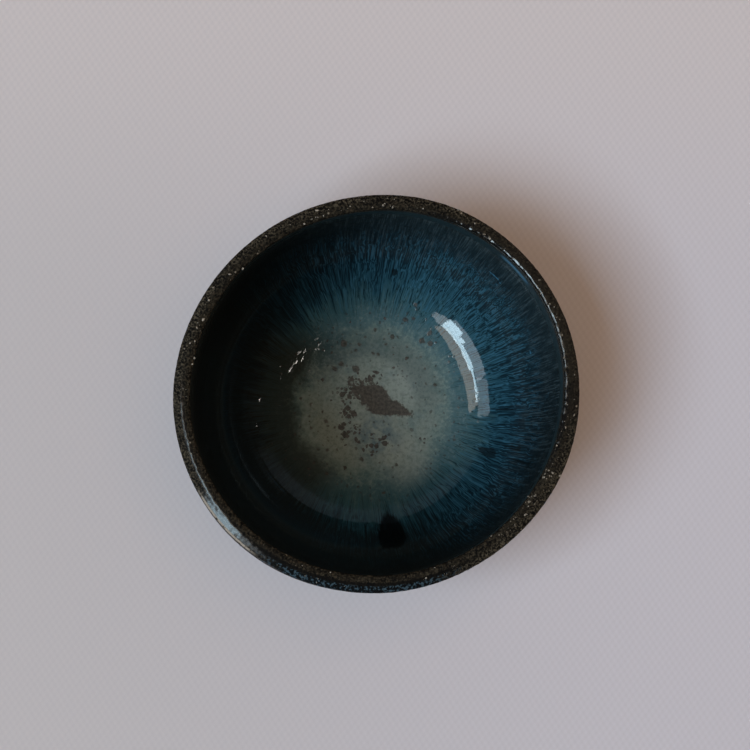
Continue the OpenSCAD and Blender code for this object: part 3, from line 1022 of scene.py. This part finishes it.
lip_grit = finished("lip_grit", grit_shape, feldspar)
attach(lip_grit, "root")

# Floor: the plain pale ground the cup stands on, woven so finely that it shows as a faint dot.
# It is stage, so it has no place in the model.
FLOOR_HALF = 4
FLOOR_CELLS = 8
# The weave's two sets of ribs: degrees across them and their pitch in millimetres
WEAVE = [(32, 1.3), (-39, 1.27)]
floor_shape = bmesh.new()
bmesh.ops.create_grid(floor_shape, x_segments=FLOOR_CELLS, y_segments=FLOOR_CELLS, size=FLOOR_HALF / MM)
cover, sockets, place = new_finish("pale_cover")
x, y, _ = place.parts()
dots = 0.5
for degrees, pitch in WEAVE:
    east, north = way(degrees)
    across = x * east + y * north
    rib = across.node("ShaderNodeMath", {"operation": "SINE"}, {0: across * (math.tau / (pitch * MM))})
    dots = rib * 0.25 + dots
# The floor is painted lighter and bluer on one side and lighter towards the back: painted light
shade = x.between(-0.09, 0.09).mix("#c7c4c4", "#cccad0").under(
    (y.between(0.02, 0.1) * 0.8, "#d4cecd"),
    (dots * 0.3, "#b9b6b9"),
)
fill(sockets, {"Base Color": shade, "Roughness": 0.85, "Normal": dots.relief(0.02)})
floor = finished("floor", floor_shape, cover)

# Light: a cool softbox high on the left and a warm one overhead, one pair for the floor and one for the cup.
# What mirrors in the glaze is a slim bright window between a warm card and grey ones, a few small lamps
# that show as glints, and a dim room.
CUP_MIDDLE = Vector((0, 0, 0.04))
LAMP_AWAY = 2.4
on_floor = bpy.data.collections.new("on_floor")
on_floor.objects.link(floor)
on_cup = bpy.data.collections.new("on_cup")
for piece in (clay_body, foot_glaze, liner_glaze, over_glaze, outer_glaze, rim_band, lip_grit):
    on_cup.objects.link(piece)


def softbox(name, azimuth, zenith, width, height, strength, tint, only=None):
    """A flat lamp that faces the cup. It lights only what is given, or else it only mirrors in gloss."""
    lamp = bpy.data.lights.new(name, "AREA")
    lamp.shape = "RECTANGLE"
    lamp.size = width
    lamp.size_y = height
    lamp.energy = strength * math.pi * width * height
    lamp.color = tint
    box = bpy.data.objects.new(name, lamp)
    box.visible_camera = False
    box.visible_glossy = not only
    box.visible_diffuse = bool(only)
    if only:
        box.light_linking.receiver_collection = only
    scene.collection.objects.link(box)
    east, north = way(azimuth)
    up, flat = way(zenith)
    towards = Vector((east * flat, north * flat, up))
    aside = Vector((-north, east, 0))
    turned = Matrix((aside, towards.cross(aside), towards)).transposed()
    box.matrix_world = Matrix.Translation(CUP_MIDDLE + towards * LAMP_AWAY) @ turned.to_4x4()


# Degrees round the cup and from straight up, width and height in metres, strength and tint, of every lamp
softbox("key_floor", 206, 22.8, 0.8, 0.8, 20.8, (0.675, 0.82, 0.97), on_floor)
softbox("warm_floor", 20, 2, 1.28, 1.28, 1.95, (1, 0.54, 0.29), on_floor)
softbox("key_cup", 208, 40, 1.3, 0.95, 10.3, (0.71, 0.83, 0.98), on_cup)
softbox("top_cup", 20, 2, 1.28, 1.28, 1.9, (1, 0.8, 0.63), on_cup)
# The window narrows from one end to the other: degrees, width and height of each pane
PANES = [(220.7, 43.7, 0.3, 0.53), (213.2, 41.4, 0.11, 0.35), (208.6, 39.7, 0.14, 0.18),
         (201, 39, 0.28, 0.21), (187, 39.1, 0.48, 0.1)]
for azimuth, zenith, width, height in PANES:
    softbox("window", azimuth, zenith, width, height, 13.6, (0.62, 0.86, 1))
softbox("card_above", 199.6, 33, 1.31, 0.42, 2.8, (1, 0.86, 0.72))
softbox("card_below", 207.5, 48.2, 1.09, 0.66, 3, (0.78, 0.9, 1))
softbox("card_below", 180.3, 48.2, 0.62, 0.66, 2.2, (0.76, 0.9, 1))
softbox("card_end", 228, 42.1, 0.17, 0.49, 3, (0.88, 0.95, 1))
softbox("card_end", 232.6, 41.8, 0.09, 0.3, 3, (0.88, 0.95, 1))
# Small lamps: degrees and strength of each
GLINT = 0.013
GLINTS = [(332.5, 20.8, 42), (330.5, 18.3, 42), (339.6, 19.1, 115), (337.4, 17, 100), (340.9, 20.3, 20),
          (344.5, 20.5, 58), (318.2, 18.2, 10), (321.5, 14.6, 13), (327, 13.7, 11), (350.4, 25, 8),
          (1.8, 40.9, 165), (13.5, 47.3, 16)]
for azimuth, zenith, strength in GLINTS:
    softbox("glint", azimuth, zenith, GLINT, GLINT, strength, (1, 0.93, 0.86))

air = bpy.data.worlds.new("air")
air.use_nodes = True
scene.world = air
backdrop = air.node_tree.nodes["Background"]
look = Tone(air.node_tree.nodes.new("ShaderNodeTexCoord").outputs["Generated"])
mirrored = Tone(air.node_tree.nodes.new("ShaderNodeLightPath").outputs["Is Glossy Ray"])
east, north, height = look.parts()
sky = height.ramp(
    (0, "#bab5b2"), (0.2, "#f2cfae"), (0.5, "#f2cfae"), (0.58, "#566a6e"), (0.8, "#566a6e"),
    (0.86, "#303030"),
)
# What gloss mirrors is a dim room with a pale wall on its far side
BELOW = [(0, "#4a4644"), (0.2, "#3a3632"), (0.5, "#3a3632")]
dim = height.ramp(*BELOW, (0.58, "#3c4042"), (0.86, "#303030"))
far_wall = height.ramp(*BELOW, (0.57, "#6f7c86"), (0.76, "#77848f"), (0.8, "#44494c"), (0.86, "#303030"))
room = north.between(0.25, 0.5).mix(dim, far_wall)
spread_strength = 0.8 + east * 0.45 + north * 0.3
room_strength = 0.55 + north * 0.45 - east * 0.05
fill(backdrop.inputs, {
    "Color": mirrored.mix(sky, room),
    "Strength": spread_strength * (1 - mirrored) + room_strength * mirrored,
})

# Camera: almost straight above the cup, tilted a little towards its near left side.
# It stands this far from the lip, with a lens that takes in this width there, both in metres.
EYE_AWAY = 0.56
FRAME_WIDE = 0.1552
SENSOR = 36
upright = Vector((-0.042, -0.06, 0.9973)).normalized()
aim = Vector((-0.00031, 0.00385, CUP_H * MM))
right = Vector((0, 1, 0)).cross(upright).normalized()
eye = bpy.data.objects.new("camera", bpy.data.cameras.new("camera"))
eye.data.sensor_width = SENSOR
eye.data.lens = SENSOR * EYE_AWAY / FRAME_WIDE
turned = Matrix((right, upright.cross(right), upright)).transposed()
eye.matrix_world = Matrix.Translation(aim + upright * EYE_AWAY) @ turned.to_4x4()
scene.collection.objects.link(eye)
scene.camera = eye
scene.view_settings.view_transform = "Standard"

# Last: the scene is brought up to date.
bpy.context.view_layer.update()
